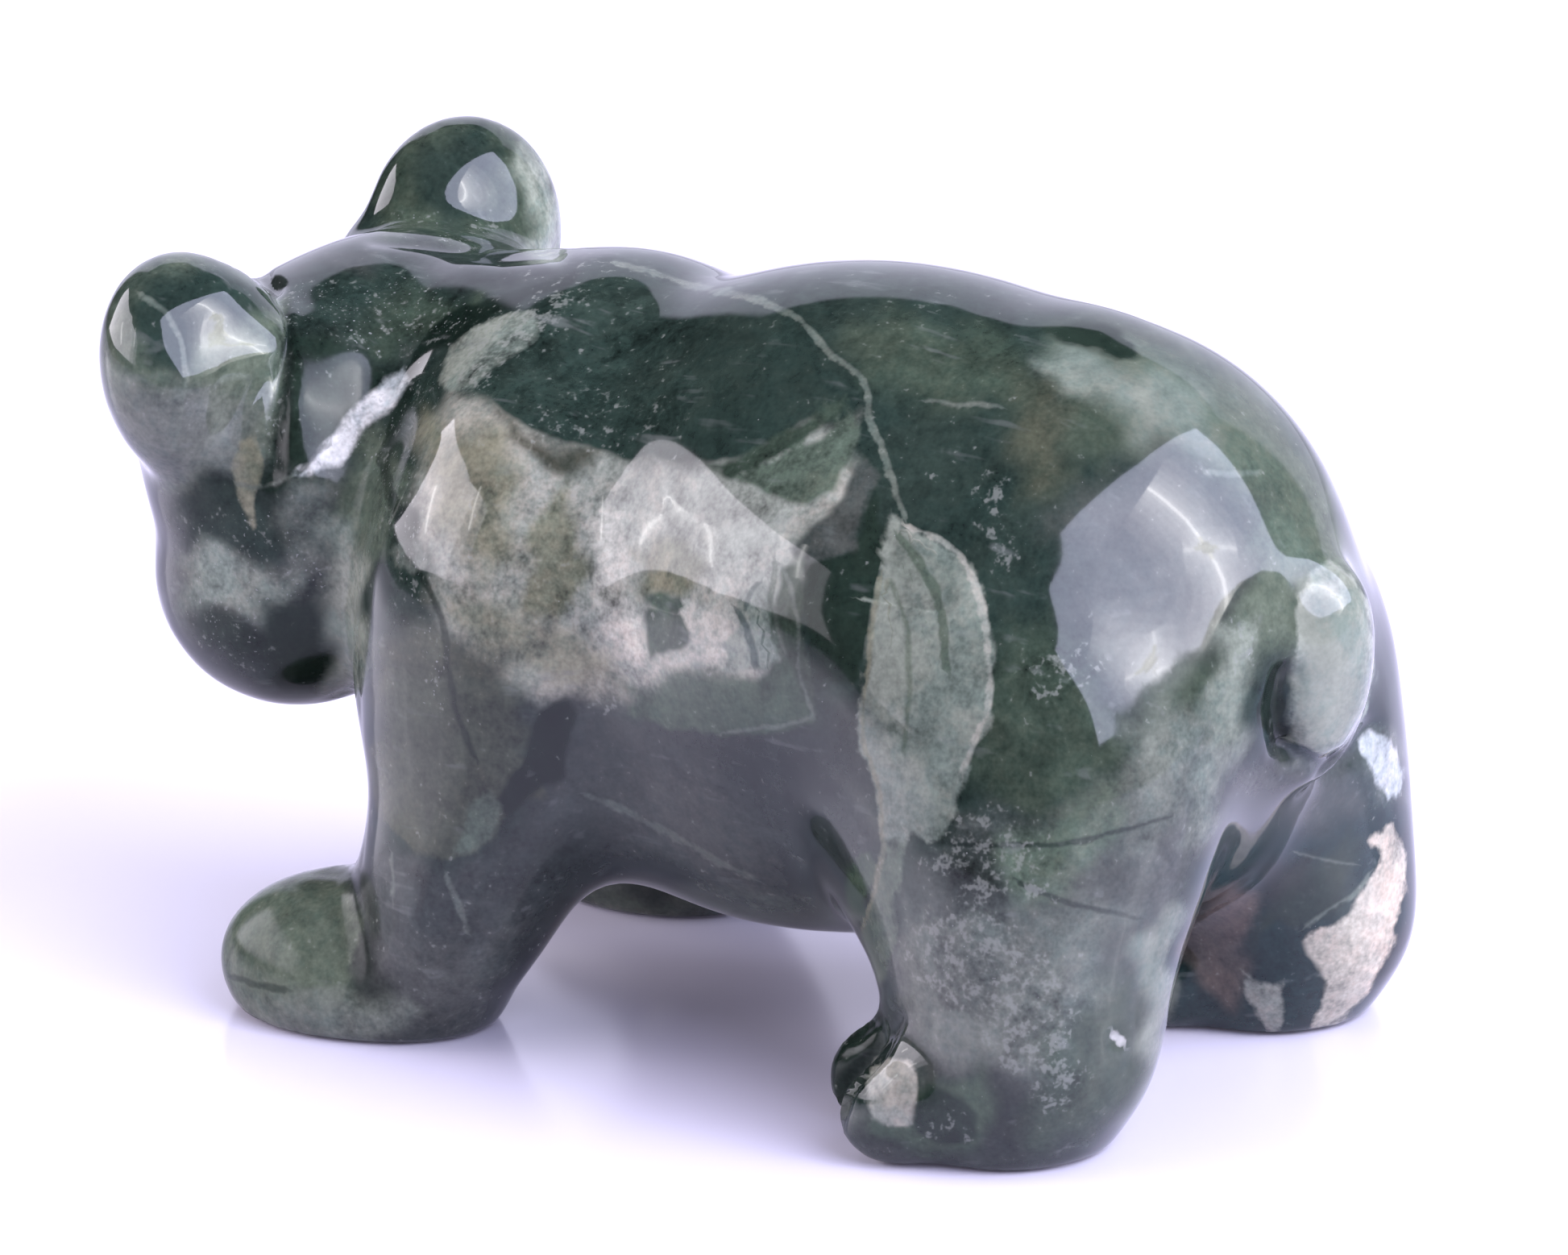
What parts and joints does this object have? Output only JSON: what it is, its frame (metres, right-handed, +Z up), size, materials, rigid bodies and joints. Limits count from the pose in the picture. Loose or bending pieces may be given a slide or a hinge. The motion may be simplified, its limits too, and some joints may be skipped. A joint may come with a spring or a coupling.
{
  "type": "carved stone panda figurine",
  "caption": "Small walking panda bear figurine carved in polished mottled green-grey stone, head held low, with round dished ears, a short tail and flat soles to stand on.",
  "frame": {"origin": "centre of the bounding box's footprint, on the plane of the soles", "axes": "+Z up, the animal looks along -Y, its own left side is +X"},
  "size_m": [0.0282, 0.05, 0.0287],
  "materials": {
    "stone": "highly polished, mottled dark green, slate grey and tan with pale veins"
  },
  "bodies": {
    "root": {"panda": "stone"}
  },
  "joints": []
}
